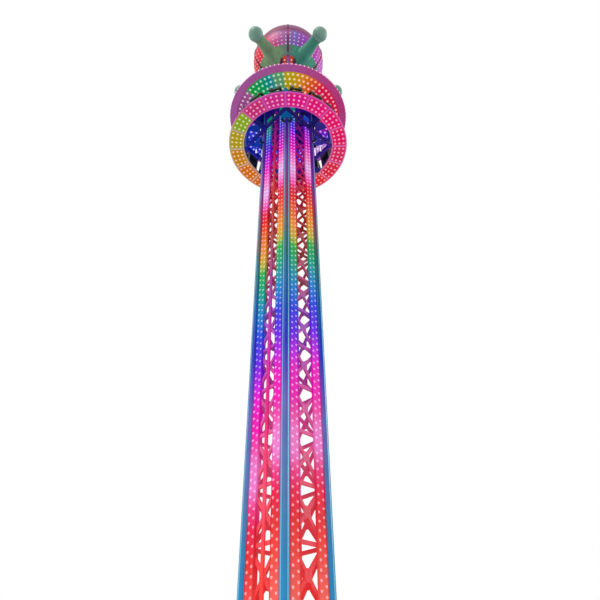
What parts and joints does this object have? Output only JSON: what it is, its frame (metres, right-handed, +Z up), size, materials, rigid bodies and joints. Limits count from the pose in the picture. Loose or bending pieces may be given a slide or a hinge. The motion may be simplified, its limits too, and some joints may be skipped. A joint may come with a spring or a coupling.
{
  "type": "drop tower ride",
  "caption": "Tall square lattice mast with light strips, a ring of outward seats that slides on it, a saucer crown and a globe in a five-armed claw.",
  "frame": {"origin": "middle of the flat underside of the base frame, on the ground", "axes": "+Z up along the mast, +X and +Y square to two mast faces, -Y square to the face with the duct"},
  "size_m": [4.8157, 4.8335, 25.7917],
  "materials": {
    "base_steel": "dark grey paint, satin",
    "tube_paint": "grey paint, semi-gloss",
    "lattice_paint": "red paint, satin",
    "strip_lights": "moulded light strip, lit",
    "duct_paint": "red paint, satin",
    "head_steel": "grey paint, satin",
    "crown_shell": "mauve moulded shell, gloss",
    "crown_lights": "moulded light panel, lit",
    "crown_steel": "dark blue paint, satin",
    "roof_shell": "deep blue moulded shell, gloss",
    "globe_shell": "mauve moulded shell, gloss",
    "seam_trim": "dark red trim, gloss",
    "claw_shell": "mint green moulded shell, gloss",
    "ball_shell": "pale green moulded shell, gloss",
    "ring_shell": "pink moulded shell, gloss",
    "ring_lights": "moulded light panel, lit",
    "chassis_paint": "dark paint, satin",
    "roller_tread": "black tread, matt",
    "seat_shell": "blue moulded shell, gloss",
    "restraint_pad": "orange foam skin, matt"
  },
  "bodies": {
    "tower": {"base_frame": "base_steel", "corner_tubes": "tube_paint", "lattice_east": "lattice_paint", "lattice_north": "lattice_paint", "lattice_west": "lattice_paint", "lattice_south": "lattice_paint", "light_strips_east": "strip_lights", "light_strips_north": "strip_lights", "light_strips_west": "strip_lights", "light_strips_south": "strip_lights", "front_duct": "duct_paint", "mast_head": "head_steel", "crown_deck_1": "crown_shell", "crown_deck_2": "crown_shell", "crown_deck_3": "crown_shell", "crown_deck_4": "crown_shell", "crown_lights_1": "crown_lights", "crown_lights_2": "crown_lights", "crown_lights_3": "crown_lights", "crown_lights_4": "crown_lights", "crown_ribs": "crown_steel", "crown_roof": "roof_shell", "neck": "head_steel", "globe": "globe_shell", "globe_seams": "seam_trim", "claw_1": "claw_shell", "claw_2": "claw_shell", "claw_3": "claw_shell", "claw_4": "claw_shell", "claw_5": "claw_shell", "claw_balls": "ball_shell"},
    "gondola": {"ring_deck_1": "ring_shell", "ring_deck_2": "ring_shell", "ring_deck_3": "ring_shell", "ring_deck_4": "ring_shell", "ring_lights_1": "ring_lights", "ring_lights_2": "ring_lights", "ring_lights_3": "ring_lights", "ring_lights_4": "ring_lights", "chassis_east": "chassis_paint", "chassis_north": "chassis_paint", "chassis_west": "chassis_paint", "chassis_south": "chassis_paint", "guide_brackets": "chassis_paint", "guide_rollers": "roller_tread", "seats_1": "seat_shell", "seats_2": "seat_shell", "seats_3": "seat_shell", "seats_4": "seat_shell", "seat_wings": "seat_shell", "restraints_1": "restraint_pad", "restraints_2": "restraint_pad", "restraints_3": "restraint_pad", "restraints_4": "restraint_pad", "lap_bars": "restraint_pad"}
  },
  "joints": [
    {"name": "gondola_slide", "type": "slide", "parent": "tower", "child": "gondola", "axis": [0, 0, 1], "range_m": [-16.8, 0]}
  ]
}
